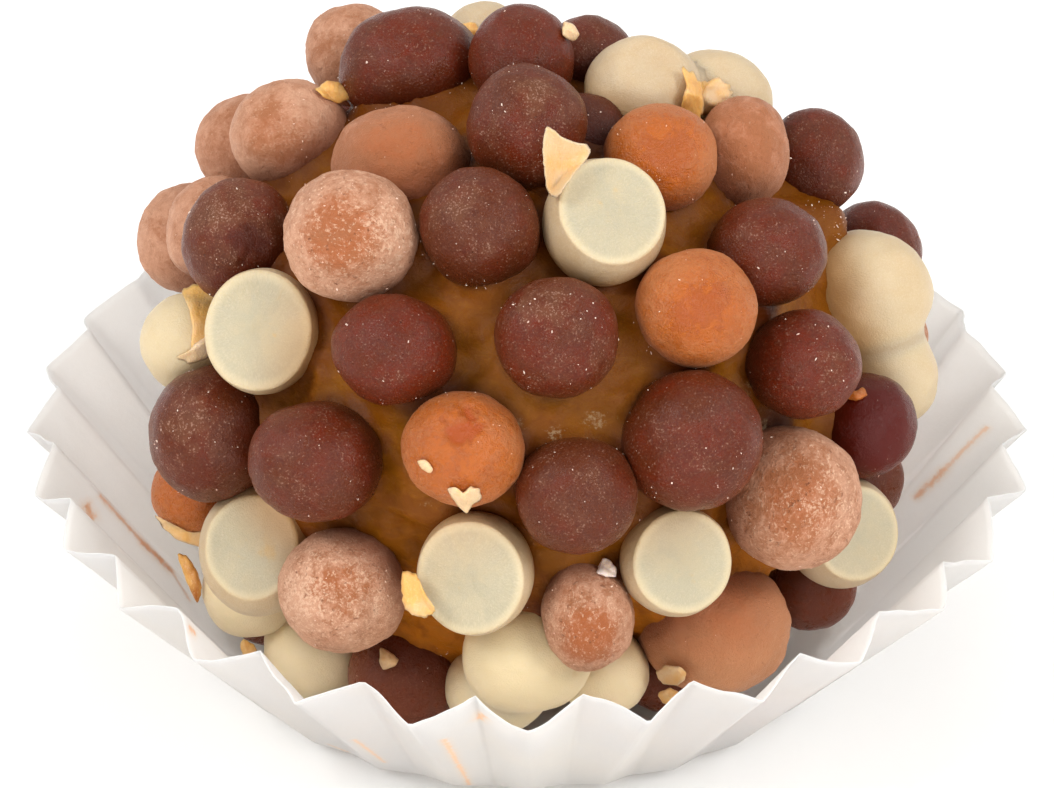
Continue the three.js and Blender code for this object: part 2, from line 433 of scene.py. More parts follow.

# How single pearls differ from their kind. wide and tall are times the diameter; right and up
# shift it, in millimetres; face is how near the middle its rubbed side is cut flat (1 is round);
# look turns that side to a bearing and height angle; thick is its depth from that side to the
# fudge, times the diameter; dimple is a hollow's depth as a share of the radius;
# warmth_or_fill_light is how red or orange it is, on top of its kind, and on a white pearl how much
# painted fill light lightens its sides where they sit in shade; frost is how powdery it is, on
# top of its kind; grainy is how many crystals it has.
CHARACTERS = {
    "dark_01": {"wide": 1.08, "tall": 0.90, "frost": 0.1},
    "dark_02": {"frost": 0.15, "face": 0.96},
    "dark_03": {"warmth_or_fill_light": 0.4, "frost": -0.2, "grainy": 0.6},
    "dark_04": {"frost": 0.3, "up": 0.2, "grainy": 1.5},
    "dark_05": {"wide": 1.3, "tall": 1.4},
    "dark_07": {"wide": 0.96, "tall": 1.03, "frost": 0.4, "dimple": 0.05, "grainy": 1.3},
    "dark_08": {"wide": 1.05, "tall": 0.93, "warmth_or_fill_light": 0.55},
    "dark_09": {"frost": 0.25, "tall": 1.03, "grainy": 1.7},
    "dark_10": {"wide": 1.05, "tall": 0.94},
    "dark_12": {"frost": 0.2, "warmth_or_fill_light": -0.1, "grainy": 1.8},
    "dark_13": {"wide": 1.06, "tall": 0.94, "frost": 0.1},
    "dark_14": {"frost": 0.15},
    "dark_15": {"frost": 0.1, "warmth_or_fill_light": 0.1, "wide": 1.03, "tall": 1.03},
    "dark_16": {"wide": 1.02, "tall": 0.96, "warmth_or_fill_light": 0.5},
    "dark_17": {"warmth_or_fill_light": 0.3, "right": 0.5},
    "dark_18": {"warmth_or_fill_light": 1.0, "frost": -0.5, "grainy": 0.5},
    "dark_20": {"warmth_or_fill_light": 0.2},
    "milk_01": {"wide": 1.12, "tall": 0.95, "right": 0.35, "frost": -0.5, "warmth_or_fill_light": 0.0,
                "grainy": 0.4},
    "milk_02": {"frost": 0.1, "grainy": 0.4},
    "milk_03": {"wide": 0.9, "tall": 1.1, "frost": -0.3, "warmth_or_fill_light": 0.3, "grainy": 0.4},
    "milk_04": {"frost": 0.1, "warmth_or_fill_light": 0.2, "grainy": 0.3},
    "milk_05": {"wide": 1.05, "tall": 0.97, "frost": 0.3, "grainy": 0.35},
    "milk_06": {"wide": 1.04, "tall": 0.98, "right": 0.4, "frost": 0.3},
    "milk_07": {"frost": 0.2, "grainy": 0.3},
    "milk_08": {"frost": 0.2, "grainy": 0.3},
    "milk_10": {"wide": 1.02, "right": -0.25, "frost": 0.45},
    "milk_11": {"wide": 0.95, "tall": 1.1, "right": -0.25, "up": -0.5, "warmth_or_fill_light": 0.35, "frost": 0.3},
    "milk_12": {"wide": 1.0, "tall": 1.04, "frost": 0.15},
    "milk_13": {"wide": 1.08, "tall": 0.98, "frost": -0.8, "warmth_or_fill_light": 0.1, "right": -0.2,
                "grainy": 0.4},
    "caramel_01": {"warmth_or_fill_light": 0.2, "wide": 1.04, "tall": 0.98, "right": -0.2, "frost": 0.1},
    "caramel_02": {"warmth_or_fill_light": 0.0, "frost": 0.15},
    "caramel_03": {"wide": 1.03, "tall": 0.97, "warmth_or_fill_light": 0.4, "dimple": 0.06, "frost": -0.1},
    "caramel_04": {"warmth_or_fill_light": -0.1, "frost": 0.1},
    "white_01": {"look": (23, 52), "face": 0.52, "tall": 1.03},
    "white_02": {"wide": 1.16, "tall": 1.0, "face": 0.84, "warmth_or_fill_light": 0.0},
    "white_04": {"wide": 1.12, "tall": 0.98, "warmth_or_fill_light": 0.2},
    "white_05": {"look": (-12, 35), "face": 0.36, "wide": 0.97, "tall": 1.07},
    "white_06": {"up": -0.4, "warmth_or_fill_light": 0.5},
    "white_07": {"face": 1.0, "up": -0.4, "right": -0.6, "wide": 1.24, "tall": 1.12, "thick": 1.1,
                 "warmth_or_fill_light": 0.3},
    "white_08": {"wide": 1.0, "tall": 1.12, "face": 0.66, "look": (-8, 40)},
    "white_09": {"look": (-15, 22), "face": 0.42, "wide": 1.02, "tall": 1.06},
    "white_10": {"look": (21, 30), "face": 0.44, "right": -0.6, "up": -0.2},
    "white_11": {"face": 1.0, "up": 0.5, "wide": 1.08, "tall": 1.08, "thick": 1.05, "warmth_or_fill_light": 0.3},
    "white_12": {"right": 0.5, "up": -0.5, "warmth_or_fill_light": 0.7},
    "white_13": {"up": -0.5, "wide": 1.1, "warmth_or_fill_light": 0.9},
    "white_14": {"right": -0.5, "up": 0.9, "wide": 1.15, "warmth_or_fill_light": 0.9},
    "white_15": {"right": 0.4, "warmth_or_fill_light": 0.8, "wide": 1.1},
    "white_16": {"warmth_or_fill_light": 0.8},
    "white_17": {"wide": 1.05, "tall": 1.05, "face": 0.6, "look": (30, 30)},
}
# Each kind's own cut, and how far the rubbed side of its pearls turns from straight out towards
# the front.
KIND_FACES = {"dark": 0.99, "milk": 0.97, "caramel": 0.96, "white": 1.03}
FACE_TURN = {"dark": 0.7, "milk": 0.8, "caramel": 0.8, "white": 0.55}


def on_ball(direction, lift, radius):
    """The centre of a pearl in that direction, kept above the inside of the case."""
    half = BALL_HALF + Vector((1, 1, 1)) * lift
    centre = BALL_CENTRE + Vector([along * size for along, size in zip(direction, half)])
    centre.z = max(centre.z, REST_HEIGHT + radius)
    return centre


def is_clear(centre, radius, others, gap):
    return all((centre - other["centre"]).length > radius + other["radius"] + gap * MM
               for other in others)


def find_front_pearls():
    pearls = []
    for node in sorted(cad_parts):
        if node.startswith("pearl_"):
            low, high = (Vector(corner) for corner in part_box(node))
            name = node.removeprefix("pearl_")
            pearls.append({
                "name": name,
                "kind": name.split("_")[0],
                "centre": (low + high) / 2,
                "radius": (high.z - low.z) / 2,
            })
    return pearls


def lay_far_pearls(front_pearls):
    pearls = []
    lowest, highest = (math.sin(math.radians(angle)) for angle in (FAR_LOWEST, FAR_HIGHEST))
    for step in range(FAR_STEPS):
        rise = lowest + (highest - lowest) * step / FAR_STEPS
        around = step * FAR_TURN
        level = math.sqrt(1 - rise * rise)
        direction = Vector((level * math.sin(around), level * math.cos(around), rise))
        if direction.dot(FRONT_AND_UP) > -FAR_BEHIND:
            continue
        count = len(pearls)
        radius = FAR_DIAMETERS[count % len(FAR_DIAMETERS)] / 2 * MM
        lift = FAR_UNEVENNESS * math.sin(FAR_TURN * count) * MM
        centre = on_ball(direction, lift, radius)
        if (is_clear(centre, radius, front_pearls, GAP_TO_FRONT)
                and is_clear(centre, radius, pearls, GAP_BETWEEN)):
            kind = FAR_KINDS[count % len(FAR_KINDS)]
            pearls.append({"name": f"far_{kind}", "kind": kind, "centre": centre,
                           "radius": radius})
    return pearls


def give_character(pearl, random):
    """Fills in a pearl's own shape and tone."""
    character = CHARACTERS.get(pearl["name"], {})
    outward = (pearl["centre"] - BALL_CENTRE).normalized()
    pearl["outward"] = outward
    is_far = pearl["name"].startswith("far")
    turn = 0 if is_far else FACE_TURN[pearl["kind"]]
    look = (outward * (1 - turn) + FRONT_AND_UP * turn).normalized()
    if "look" in character:
        look = direction_of(*character["look"])
    right = UP.cross(look).normalized()
    if not is_far and abs(look.y) > 0.2:
        right = (SEEN_RIGHT - look * look.x).normalized()
    up = look.cross(right)
    pearl["turn"] = Matrix((right, up, look)).transposed().to_euler()
    pearl["centre"] = (pearl["centre"] + right * character.get("right", 0) * MM
                       + up * character.get("up", 0) * MM)
    unevenness = 0.03
    wide, tall = (character.get(side, 1 + unevenness * random.uniform(-1, 1))
                  for side in ("wide", "tall"))
    pearl["size"] = Vector((wide, tall, character.get("thick", 1.0))) * pearl["radius"]
    kind_face = KIND_FACES[pearl["kind"]]
    pearl["face"] = character.get("face", kind_face + 0.04 * random.uniform(-1, 1))
    pearl["dimple"] = character.get("dimple", 0.0)
    for key, marks in (("deep", DEEP_MARKS), ("pale", PALE_MARKS)):
        bearing, height, reach, strength = marks.get(pearl["name"], (0, 0, 30, 0.0))
        pearl[f"{key}_at"] = direction_of(bearing, height)
        pearl[f"{key}_reach"] = math.cos(math.radians(reach))
        pearl[f"{key}_strength"] = strength
    pearl["grainy"] = character.get("grainy", 0.9)
    pearl["warmth_or_fill_light"] = character.get("warmth_or_fill_light", 0.25 * random.uniform(-1, 1))
    pearl["frost"] = character.get("frost", 0.2 * random.uniform(-1, 1))
    pearl["seed"] = random.uniform(0, 50)


# ---- Finishes -----------------------------------------------------------------------------

def velvety(weight, tint):
    """Sockets for a soft bloom of fat and sugar, which shows most at the rim."""
    return {"sheen_weight": weight, "sheen_roughness": 0.5, "sheen_tint": paint(tint)}


def lit_through(weight, green, blue, depth):
    """Sockets for light that soaks in: its depth in millimetres and, next to red, its reach."""
    return {"subsurface_weight": weight, "subsurface_radius": (1.0, green, blue),
            "subsurface_scale": depth * MM}


def with_painted_shade_and_fill(finish, colour, shade, painted_fill_colour):
    """A pearl's colour, with painted shade at its foot in the fudge and painted fill light low in
    the case.
    """
    place = finish.place()
    # Painted fill light: pearls low in the case, where the case shades them, are painted lighter.
    low = finish.step(finish.axes(place)[2], 10.0, 4.0)
    point = finish.vector("SUBTRACT", place, tuple(BALL_CENTRE / MM))
    out = finish.length(finish.vector("DIVIDE", point, tuple(FUDGE_HALF / MM)))
    # Painted shade: darker towards the foot, where the pearl sinks into the fudge.
    foot = finish.step(out, 1.17, 1.0)
    return finish.layered(colour, (low * 0.65, painted_fill_colour), (foot * 0.75, shade))


def dark_chocolate():
    finish = Finish("dark_chocolate")
    local = finish.direction("local")
    seed, warmth_or_fill_light, frost, deep, pale = finish.numbers("seed", "warmth_or_fill_light", "frost", "deep", "pale")

    clouds = finish.cloud(local, 1.5, 3, 0.6, seed, 0.6)
    mottle = finish.cloud(local, 6, 4, 0.7, seed, 0.5)
    grain = finish.cloud(local, 30, 2, 0.6, seed)
    fine = finish.cloud(local, 75, 1, 0.5, seed)
    patches = finish.cloud(local, 2.2, 4, 0.65, seed + 9, 0.5)
    redness = finish.step(clouds + 0.35 * warmth_or_fill_light + 0.3 * (mottle - 0.5), 0.36, 0.74)
    bloom = finish.step(patches + 0.3 * frost + 0.2 * pale + 0.3 * (grain - 0.5), 0.52, 0.95)
    dust = finish.step(grain + 0.3 * (patches - 0.5) + 0.06 * frost + 0.05 * pale, 0.62, 0.72)
    pits = finish.step(finish.cloud(local, 15, 3, 0.6, seed + 3), 0.66, 0.76)
    ruby = finish.step(warmth_or_fill_light, 0.6, 1.0)
    body = finish.layered(
        finish.blend(redness, "#562611", "#611e09"),
        (finish.step(mottle, 0.38, 0.66) * 0.5, "#3e150a"),
        (finish.step(grain + 0.4 * (mottle - 0.5), 0.48, 0.66) * 0.35, "#6c3d27"),
        (bloom * 0.4, "#785238"),
        (dust * 0.45, "#a88272"),
        # Painted shade: the pits are painted darker in their hollows.
        (pits * 0.6, "#2c100c"),
        (ruby * 0.85, "#4c0804"),
        (deep * 0.55, "#431810"),
    )

    relief = mottle * 0.5 + grain * 0.35 + fine * 0.15 - pits * 0.3
    return finish.surface(
        base_color=with_painted_shade_and_fill(finish, body, "#380e04", "#783f2b"),
        roughness=0.3 + 0.3 * bloom + 0.5 * (mottle - 0.5) - 0.08 * ruby,
        normal=finish.bump(relief, 0.1),
        specular_ior_level=0.2,
        **velvety(0.08, "#c87a48"),
    )


def milk_chocolate():
    finish = Finish("milk_chocolate")
    local = finish.direction("local")
    seed, warmth_or_fill_light, frost, deep, pale, grainy = finish.numbers(
        "seed", "warmth_or_fill_light", "frost", "deep", "pale", "grainy")
    rise = finish.axes(local)[2]

    clouds = finish.cloud(local, 1.6, 4, 0.65, seed, 0.8)
    mottle = finish.cloud(local, 6, 5, 0.72, seed, 0.6)
    grain = finish.cloud(local, 24, 3, 0.7, seed)
    fine = finish.cloud(local, 60, 2, 0.6, seed)
    ridges = finish.cloud(local, 10, 4, 0.7, seed + 7, 0.8)
    redness = finish.step(clouds + 0.3 * warmth_or_fill_light + 0.2 * deep + 0.4 * (mottle - 0.5), 0.4, 0.85)
    powder = (0.55 + 0.45 * frost + 0.2 * pale - 0.36 * deep - 0.12 * rise
              + 1.1 * (clouds - 0.5) + (0.5 + 1.1 * grainy) * (mottle - 0.5)
              + 0.6 * grainy * (grain - 0.5))
    crystals = finish.step(grain * 0.55 + ridges * 0.55 + 0.1 * frost + 0.05 * pale, 0.6, 0.7)
    pits = finish.step(finish.cloud(local, 12, 3, 0.6, seed + 5, 0.4), 0.62, 0.72)
    body = finish.layered(
        finish.blend(redness, "#9e613c", "#a55a2e"),
        (finish.step(powder, 0.2, 0.88), "#c99678"),
        (crystals * grainy * 0.55, "#eac6a8"),
        # Painted shade: the pits are painted darker in their hollows.
        (pits * (0.25 + 0.35 * grainy), "#8e4620"),
    )

    relief = (mottle * 0.3 + grain * (0.15 + 0.2 * grainy) + fine * 0.15
              + (ridges * 0.3 - pits * 0.3) * grainy)
    return finish.surface(
        base_color=with_painted_shade_and_fill(finish, body, "#703014", "#eaa878"),
        roughness=0.5 + 0.5 * (grain - 0.5) + 0.12 * frost,
        normal=finish.bump(relief, 0.3),
        specular_ior_level=0.3,
        **velvety(0.22, "#ffc8a4"),
    )


def caramel_chocolate():
    finish = Finish("caramel_chocolate")
    local = finish.direction("local")
    seed, warmth_or_fill_light, frost, deep, pale = finish.numbers("seed", "warmth_or_fill_light", "frost", "deep", "pale")
    rise = finish.axes(local)[2]

    clouds = finish.cloud(local, 1.7, 4, 0.65, seed, 1.0)
    mottle = finish.cloud(local, 6, 4, 0.65, seed, 0.8)
    grain = finish.cloud(local, 28, 2, 0.6, seed)
    glow = finish.step(rise * 0.3 + clouds + 0.2 * warmth_or_fill_light + 0.3 * deep, 0.55, 1.1)
    patch = finish.step(clouds + 0.5 * (mottle - 0.5) + 0.15 * warmth_or_fill_light + 0.25 * deep, 0.52, 0.64)
    powder = finish.step(mottle * 0.7 + grain * 0.3 + 0.2 * frost + 0.1 * pale - 0.12 * deep
                         + 0.4 * (clouds - 0.5) - 0.26 * rise, 0.2, 0.62)
    body = finish.layered(
        finish.blend(glow, "#9e4f12", "#b25a04"),
        (patch * 0.6, "#8a3c04"),
        (powder * 0.5, "#c28050"),
        (finish.step(deep + 0.5 * (mottle - 0.5), 0.6, 1.2) * 0.8, "#a04200"),
    )

    return finish.surface(
        base_color=with_painted_shade_and_fill(finish, body, "#6c2404", "#f4a468"),
        roughness=0.22 + 0.35 * powder + 0.2 * (mottle - 0.5),
        normal=finish.bump(mottle * 0.6 + grain * 0.4, 0.16),
        specular_ior_level=0.35,
        **velvety(0.12, "#ffc4a0"),
        **lit_through(0.12, 0.4, 0.15, 0.8),
    )


def white_chocolate():
    finish = Finish("white_chocolate")
    local = finish.direction("local")
    seed, warmth_or_fill_light, deep, face = finish.numbers("seed", "warmth_or_fill_light", "deep", "face")
    from_edge = finish.axes(local)[2] - face

    clouds = finish.cloud(local, 1.4, 3, 0.6, seed, 0.5)
    mottle = finish.cloud(local, 6, 3, 0.6, seed)
    grain = finish.cloud(local, 42, 2, 0.6, seed)
    is_cut = finish.step(face, 0.82, 0.72)
    pressed = finish.step(from_edge + 0.03 * (clouds - 0.5), -0.04, 0.02) * is_cut
    lip = finish.step(from_edge, -0.09, 0.0) * finish.step(from_edge, 0.06, 0.0) * is_cut
    yellow = finish.step(finish.cloud(local, 2.3, 3, 0.5, seed + 4) + 0.2 * deep, 0.64, 0.84)
    side = finish.layered(
        finish.blend(finish.step(clouds, 0.35, 0.7), "#bfa887", "#bb9f7a"),
        # Painted fill light: white pearls' sides are painted lighter, for those that sit in shade.
        (finish.step(warmth_or_fill_light, 0.0, 1.0), "#dccaa0"),
    )
    flat = finish.blend(finish.step(clouds + 0.3 * (mottle - 0.5), 0.35, 0.65),
                        "#afa58b", "#b6a98b")
    body = finish.layered(
        finish.blend(pressed, side, flat),
        (yellow * 0.55, "#c89e54"),
        (finish.step(grain, 0.4, 0.75) * 0.25, "#dccfb0"),
        # Painted highlight: the raised lip round the cut side is painted lighter.
        (lip * 0.4, "#dccba4"),
    )

    return finish.surface(
        base_color=with_painted_shade_and_fill(finish, body, "#a8763a", "#f4e0ba"),
        roughness=0.42 + 0.3 * (grain - 0.5) + 0.06 * pressed,
        normal=finish.bump(grain * 0.5 + mottle * 0.5, 0.06),
        specular_ior_level=0.4,
        **lit_through(0.25, 0.75, 0.4, 0.6),
    )


def soft_fudge():
    finish = Finish("soft_fudge")
    place = finish.place()
    near, pale = finish.numbers("near", "pale")

    clouds = finish.cloud(place, 0.22, 3, 0.6)
    mottle = finish.cloud(place, 0.8, 3, 0.55, warp=0.4)
    grain = finish.cloud(place, 6, 4, 0.75)
    streaks = finish.cloud(finish.vector("MULTIPLY", place, (1, 1, 2.6)), 0.7, 4, 0.7, warp=0.6)
    # Painted fill light: the fudge low in the case, which lies in shade, is painted lighter.
    low = finish.step(finish.axes(place)[2], 13.0, 8.0)
    # Painted shade round each pearl's foot, darkest in the gaps where pearls crowd together.
    painted_gap_shade = finish.step(near + 0.3 * (streaks - 0.5), 0.56, 0.96)
    frost = finish.step(0.5 * pale + 1.5 * (grain - 0.5) + 0.6 * (streaks - 0.5), 0.3, 0.6)
    colour = finish.layered(
        finish.blend(finish.step(clouds + 0.4 * (mottle - 0.5), 0.35, 0.7), "#703a02", "#7e4804"),
        (low * 0.75, "#b4680e"),
        (finish.step(streaks, 0.48, 0.72) * 0.3, "#965e12"),
        (finish.step(mottle, 0.54, 0.75) * 0.5, "#5c2602"),
        (painted_gap_shade * 0.95, "#461402"),
        (frost * 0.5, "#b39c78"),
    )

    return finish.surface(
        base_color=colour,
        roughness=0.44 + 0.3 * frost + 0.3 * (mottle - 0.5),
        normal=finish.bump(mottle * 0.5 + grain * 0.2 + streaks * 0.2, 0.18),
        specular_ior_level=0.14,
        **lit_through(0.15, 0.45, 0.15, 0.9),
    )


# ---- Pearls -------------------------------------------------------------------------------

# White pearls that have melted into each other, and how broad the melted neck is.
MELTED = (("white_07", "white_11"), ("white_08", "white_12"), ("white_02", "white_04"),
          ("white_14", "white_15"))
MELT_REACH, MELT_STEPS = 2.2 * MM, 12


def find_partners(pearls):
    """Tells each pearl which one it has melted into: mostly none, so a point far above."""
    by_name = {pearl["name"]: pearl for pearl in pearls}
    for pearl in pearls:
        pearl["melt_at"] = pearl["centre"] + UP
        pearl["melt_radius"] = pearl["radius"]
    for first, second in MELTED:
        for one, other in ((first, second), (second, first)):
            by_name[one]["melt_at"] = by_name[other]["centre"]
            by_name[one]["melt_radius"] = sum(by_name[other]["size"]) / 3


def pearl_maker():
    maker = Maker("pearls", {
        "Points": "Geometry", "Subdivisions": "Int", "Lumps": "Float", "Ripples": "Float",
        "Grain": "Float", "Bevel": "Float", "Lip": "Float", "Material": "Material",
    })
    sockets = {"Radius": 1.0, "Subdivisions": maker.input("Subdivisions")}
    ball = maker.add("GeometryNodeMeshIcoSphere", {}, sockets)
    ball = maker.kept(ball, "local", maker.position())
    turn = maker.add("FunctionNodeEulerToRotation", {}, {"Euler": maker.direction("turn")})
    placed = maker.add("GeometryNodeInstanceOnPoints", {}, {
        "Points": maker.input("Points"), "Instance": ball, "Rotation": turn,
        "Scale": maker.direction("size"),
    })
    real = maker.add("GeometryNodeRealizeInstances", {}, {"Geometry": placed})

    local, seed, face = maker.direction("local"), maker.number("seed"), maker.number("face")
    rise = maker.axes(local)[2]
    centre = maker.direction("centre")
    arm = maker.vector("SUBTRACT", maker.position(), centre)
    outward = maker.vector("NORMALIZE", arm)

    def at(distance):
        """The point that far out from the pearl's centre."""
        return maker.vector("ADD", centre, maker.scaled(outward, distance))

    def to_partner(place):
        """How far a place lies from the pearl that this one has melted into."""
        from_partner = maker.vector("SUBTRACT", place, maker.direction("melt_at"))
        return maker.length(from_partner) - maker.number("melt_radius")

    marks = {}
    for key in ("deep", "pale"):
        there = maker.dot(outward, maker.direction(f"{key}_at"))
        ragged = there + 0.5 * (maker.cloud(local, 3.0, 3, 0.65, seed + 2) - 0.5)
        share = (ragged - maker.number(f"{key}_reach")) / (1 - maker.number(f"{key}_reach"))
        marks[key] = maker.step(share, 0.0, 0.9) * maker.number(f"{key}_strength")
    marked = real
    for key, mark in marks.items():
        marked = maker.kept(marked, key, mark, "FLOAT")

    cut = face / maker.math("MAXIMUM", rise, 0.05) ** 0.94
    flattened = maker.math("SMOOTH_MIN", 1.0, cut, maker.input("Bevel"))
    from_edge = rise - face
    edge = maker.step(from_edge, -0.10, 0.01) * maker.step(from_edge, 0.09, 0.01)
    lumps = maker.cloud(local, 1.1, 1, 0.4, seed) - 0.5
    ripples = maker.cloud(local, 3.6, 2, 0.5, seed) - 0.5
    grain = maker.cloud(local, 9, 1, 0.5, seed) - 0.5
    relief = (lumps * maker.input("Lumps") + ripples * maker.input("Ripples")
              + grain * maker.input("Grain"))
    apart_now = to_partner(maker.position())
    relief = relief * maker.step(apart_now, 0.4 * MM, 2 * MM)
    reach = (flattened - marks["deep"] * maker.number("dimple") + edge * maker.input("Lip")
             + relief)

    # Where it has melted into another pearl, it swells until it lies on their joint surface.
    own_radius = maker.dot(maker.direction("size"), (1 / 3, 1 / 3, 1 / 3))
    alone = maker.length(arm) * reach
    alone = alone + maker.step(apart_now, 1.5 * MM, 0.4 * MM) * (own_radius - alone)
    swell = 0.0
    for _ in range(MELT_STEPS):
        joint = maker.math("SMOOTH_MIN", swell, to_partner(at(alone + swell)), MELT_REACH)
        swell = swell - joint * 1.5

    # Past the seam it sinks back, so that only one of the two shows.
    partner = maker.vector("SUBTRACT", maker.direction("melt_at"), centre)
    facing = maker.dot(outward, maker.vector("NORMALIZE", partner))
    apart, melt_radius = maker.length(partner), maker.number("melt_radius")
    to_seam = apart / 2 + (own_radius * own_radius - melt_radius * melt_radius) / (2 * apart)
    to_seam = to_seam / maker.math("MAXIMUM", facing, 0.05)
    past = maker.math("MAXIMUM", alone + swell - to_seam, 0.0)
    swell = maker.math("MAXIMUM", swell - past * past * (0.3 / MM), 0.0)
    sockets = {"Geometry": marked, "Position": at(alone + swell)}
    shaped = maker.add("GeometryNodeSetPosition", {}, sockets)
    return maker.finish(shaped)


PEARL_ATTRIBUTES = (
    "centre", "size", "turn", "face", "dimple", "seed", "warmth_or_fill_light", "frost", "grainy", "deep_at",
    "deep_reach", "deep_strength", "pale_at", "pale_reach", "pale_strength", "melt_at",
    "melt_radius",
)


def pearl_points(name, pearls):
    """A mesh of bare points that carry what the tree needs to know of each pearl."""
    mesh = bpy.data.meshes.new(name)
    mesh.from_pydata([pearl["centre"] for pearl in pearls], [], [])
    for key in PEARL_ATTRIBUTES:
        store(mesh, key, [pearl[key] for pearl in pearls])
    return mesh


# How uneven each kind is, as shares of the radius, how softly its flat side is cut, and how high
# the lip round that side stands.
RELIEF_INPUTS = ("Lumps", "Ripples", "Grain", "Bevel", "Lip")
RELIEF = {
    "dark": (0.17, 0.055, 0.012, 0.12, 0.0),
    "milk": (0.20, 0.075, 0.03, 0.12, 0.0),
    "caramel": (0.17, 0.06, 0.014, 0.14, 0.0),
    "white": (0.16, 0.04, 0.0, 0.12, 0.0),
    "button": (0.08, 0.02, 0.0, 0.03, 0.012),
}
SLOTS = {
    "dark": "dark_chocolate",
    "milk": "milk_chocolate",
    "caramel": "caramel",
    "white": "white_chocolate",
    "button": "white_chocolate",
}
# White pearls that were cast with a flat side and a sharp edge round it.
BUTTONS = ("white_01", "white_05", "white_08", "white_09", "white_10", "white_17")


def make_pearls(pearls, finishes):
    tree = pearl_maker()
    pieces = {}
    for pearl in pearls:
        if pearl["name"] in BUTTONS:
            pearl["kind"] = "button"
    for kind in KINDS:
        ones = [pearl for pearl in pearls if pearl["kind"] == kind]
        fineness = 6 if kind == "button" else 5
        values = {"Subdivisions": fineness, "Material": finishes[kind],
                  **dict(zip(RELIEF_INPUTS, RELIEF[kind]))}
        piece = grown(f"{kind}_pearls", pearl_points(kind, ones), tree, values)
        nodes = [f"pearl_{pearl['name']}" for pearl in ones
                 if not pearl["name"].startswith("far")]
        keep(piece, SLOTS[kind], *nodes)
        pieces[kind] = piece
    return pieces


# ---- Fudge --------------------------------------------------------------------------------

# Where the fudge stands out between pearls: bearing, height angle, radius and rise in millimetres.
BULGES = (
    (99, 27, 1.9, 1.5), (-106, 22, 1.5, 1.2), (52, -19, 1.6, 1.3), (88, 38, 1.4, 0.8),
    (20, 5, 1.2, 0.6), (-18, 8, 1.5, 0.4),
)
# Where sugar has dried white on the fudge: bearing, height angle, radius in millimetres, strength.
FROSTED = (
    (-2, 26, 0.5, 0.8), (5, 24, 0.6, 0.9), (13, 26, 0.7, 1.0), (47, 12, 1.1, 1.0),
    (45, 22, 0.8, 0.8), (-21, 47, 0.7, 0.4), (-27, 42, 0.6, 0.4), (-18, 8, 0.7, 0.5),
    (20, 40, 0.4, 0.6), (36, 14, 0.5, 0.6), (-8, 50, 0.5, 0.5),
)


def around_spots(directions, spots):
    """For each spot, how near each direction comes to it, from 0 to 1, and its strength."""
    for bearing, height, radius, strength in spots:
        apart = np.linalg.norm(directions - np.array(direction_of(bearing, height)), axis=1)
        spread = radius * MM / BALL_HALF.x
        yield np.exp(-(apart / spread) ** 2), strength


def make_fudge(pearls, finish):
    """A ball of fudge that rises in a soft fillet round each pearl."""
    ball = bmesh.new()
    bmesh.ops.create_icosphere(ball, subdivisions=7, radius=1)
    directions = np.array([vertex.co for vertex in ball.verts])
    points = directions * np.array(FUDGE_HALF) + np.array(BALL_CENTRE)

    sunk, highest = 0.45 * MM, 1.2 * MM
    collar_width, collar_height, low_collar = 0.55 * MM, 1.0 * MM, 0.3
    shadow_reach = 0.7 * MM
    lift = np.full(len(points), -sunk)
    near = np.zeros(len(points))
    for pearl in pearls:
        gaps = np.linalg.norm(points - np.array(pearl["centre"]), axis=1) - pearl["radius"]
        gaps = np.clip(gaps, 0, None)
        # No two collars are alike, and one stays low where its pearl is cut flat.
        height = collar_height * (0.75 + 0.5 * math.sin(7 * pearl["seed"]))
        if pearl["face"] < 0.9:
            height *= low_collar
        lift += height * np.exp(-gaps / collar_width)
        near += np.exp(-(gaps / shadow_reach) ** 1.5)
    lift = np.minimum(lift, highest)
    # near, from 0 to 1, is how crowded by pearls a point is; the finish paints shade from it.
    near = 1 - np.exp(-1.3 * near)

    lump_depth, roughness = 0.42 * MM, 0.03 * MM
    lumps = np.array([noise.fractal(Vector(each) * 5, 0.8, 2.0, 4) for each in directions])
    rough = np.array([noise.fractal(Vector(each) * 28, 0.7, 2.1, 3) for each in directions])
    lift += lumps * lump_depth + rough * roughness
    for nearness, rise in around_spots(directions, BULGES):
        lift += nearness * rise * MM
    frosted = np.zeros(len(points))
    for nearness, strength in around_spots(directions, FROSTED):
        frosted += nearness * strength
    points += directions * lift[:, None]
    points[:, 2] = np.maximum(points[:, 2], REST_HEIGHT + 0.03 * MM)

    mesh = bpy.data.meshes.new("fudge_ball")
    ball.to_mesh(mesh)
    ball.free()
    mesh.vertices.foreach_set("co", points.ravel())
    for key, values in (("near", near), ("pale", frosted), ("grainy", np.ones(len(points)))):
        store(mesh, key, values)
    mesh.shade_smooth()
    mesh.materials.append(finish)
    piece = new_object("fudge_ball", mesh)
    keep(piece, "fudge", "fudge_core")
    return piece


# ---- Paper case ---------------------------------------------------------------------------

